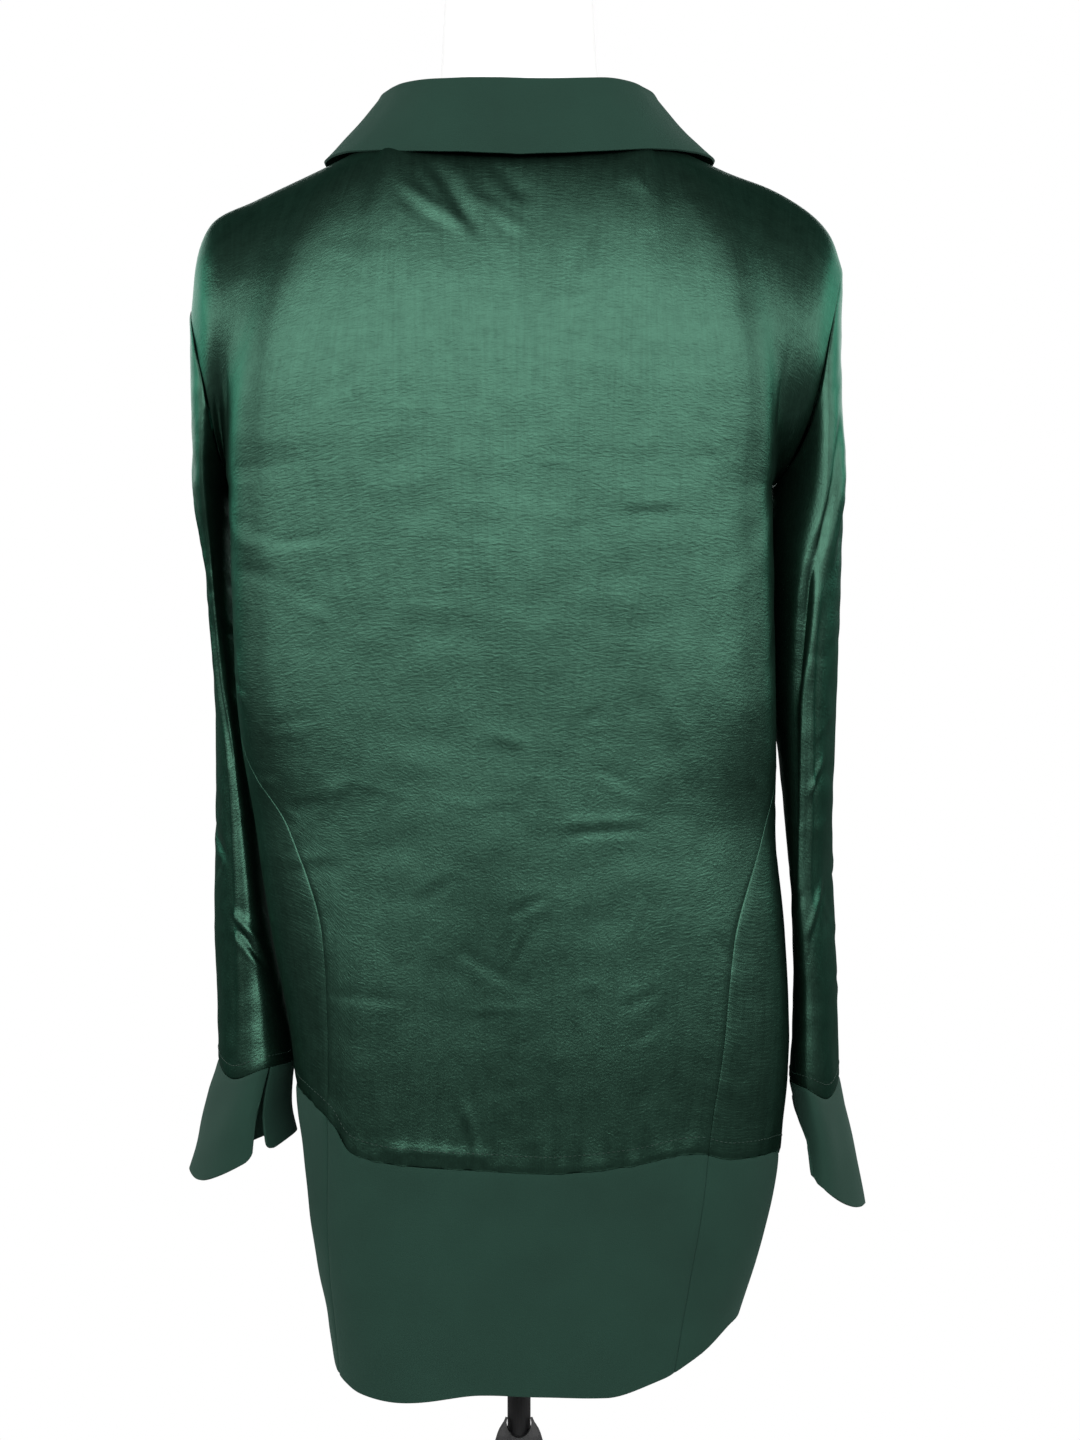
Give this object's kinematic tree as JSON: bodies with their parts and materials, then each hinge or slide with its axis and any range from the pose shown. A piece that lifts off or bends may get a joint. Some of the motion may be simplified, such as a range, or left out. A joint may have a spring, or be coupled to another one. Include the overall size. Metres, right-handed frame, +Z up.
{
  "type": "tunic on a dress form",
  "caption": "Long-sleeved satin tunic with matte collar, open cuffs and deep hem band, on a limbless dress form with a tripod stand.",
  "frame": {"origin": "centre of the bounding box, on the floor under the feet", "axes": "+Z up, the tunic's front faces -Y, +X is the wearer's left"},
  "size_m": [0.4778, 0.4158, 1.519],
  "materials": {
    "satin": "dark green washed satin with a soft sheen",
    "crepe": "matte dark green crepe",
    "form_cover": "white stretch cover",
    "black_metal": "satin black paint",
    "black_rubber": "matte black rubber"
  },
  "bodies": {
    "root": {"back": "satin", "front": "satin", "sleeve_left": "satin", "sleeve_right": "satin", "back_hem_band": "crepe", "front_hem_band": "crepe", "cuff_left": "crepe", "cuff_right": "crepe", "collar": "crepe", "form_torso": "form_cover", "pole": "black_metal", "hub": "black_metal", "leg_left_rear": "black_metal", "leg_front": "black_metal", "leg_right_rear": "black_metal", "foot_left_rear": "black_rubber", "foot_front": "black_rubber", "foot_right_rear": "black_rubber"}
  },
  "joints": []
}
